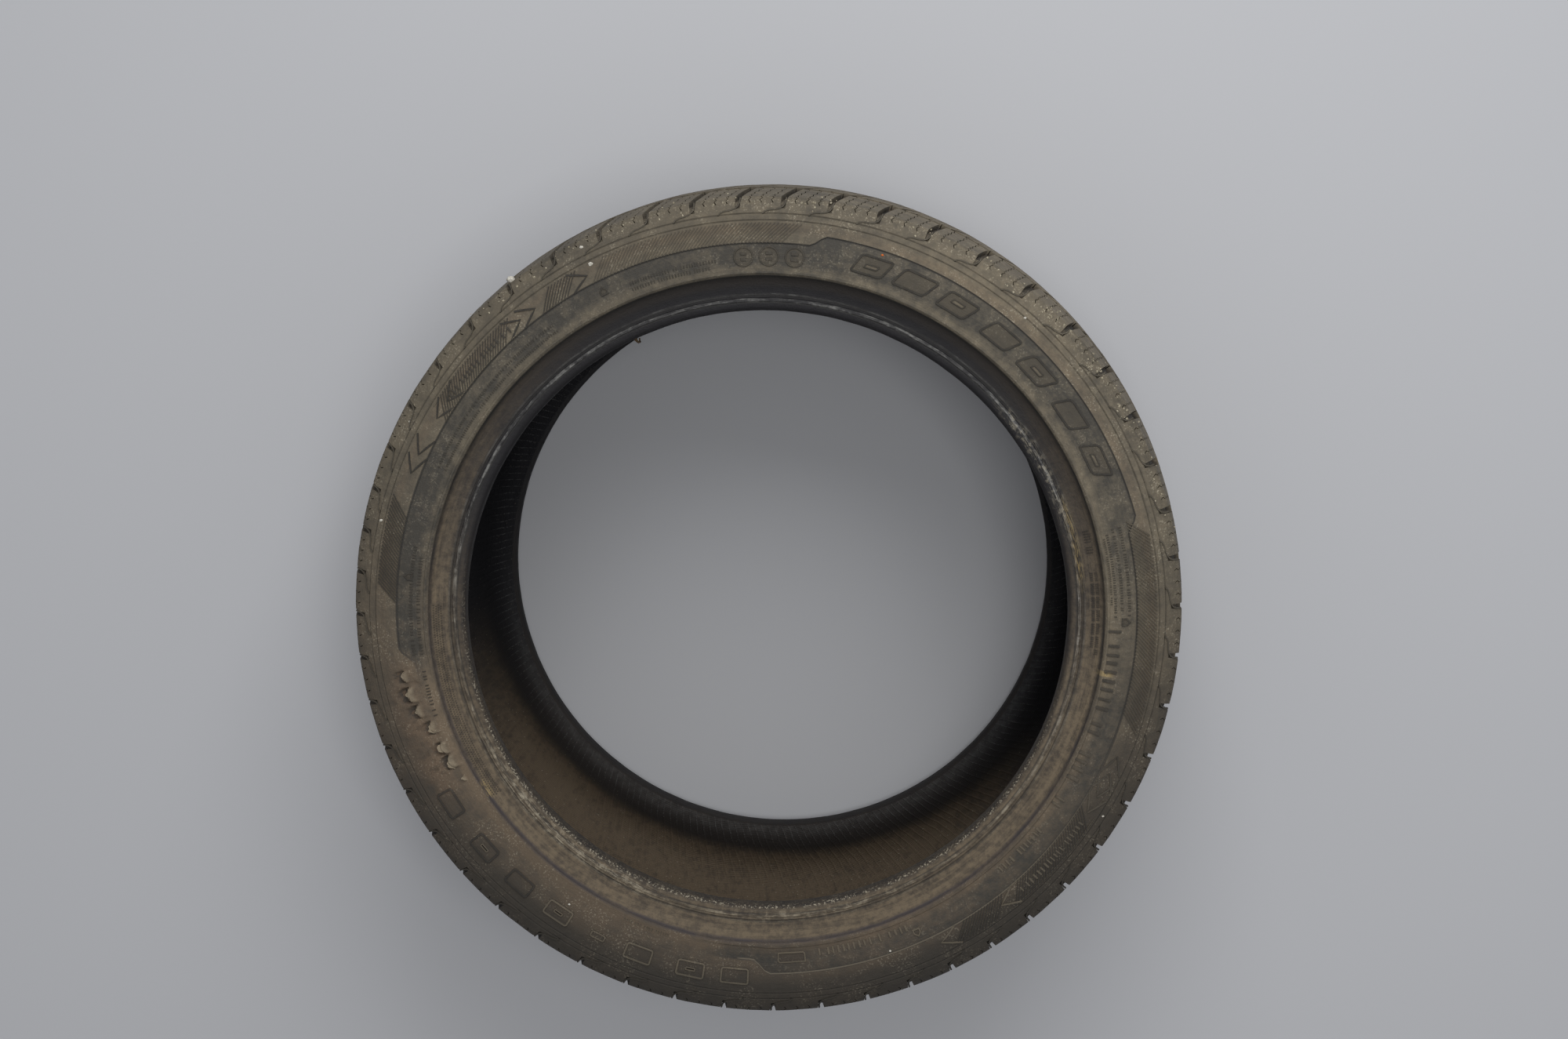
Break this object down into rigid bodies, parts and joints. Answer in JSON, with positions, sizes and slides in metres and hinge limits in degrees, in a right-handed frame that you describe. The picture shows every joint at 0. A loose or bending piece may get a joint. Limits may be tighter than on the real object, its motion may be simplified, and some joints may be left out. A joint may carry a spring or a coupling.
{
  "type": "worn car tyre",
  "caption": "Worn low-profile car tyre with no rim, grooved tread, ribbed rim protector, torn and dusty sidewall, lying on its side.",
  "frame": {"origin": "centre of the ring, on the plane that the lower sidewall rests on", "axes": "+Z along the axle's line, upwards out of the damaged sidewall; +Y towards clock angle 0 of the sidewall's layout, +X towards clock angle 90"},
  "size_m": [0.72, 0.7198, 0.308],
  "materials": {
    "tyre": "old vulcanised rubber, dusty and scuffed"
  },
  "bodies": {
    "root": {"tyre": "tyre"}
  },
  "joints": []
}
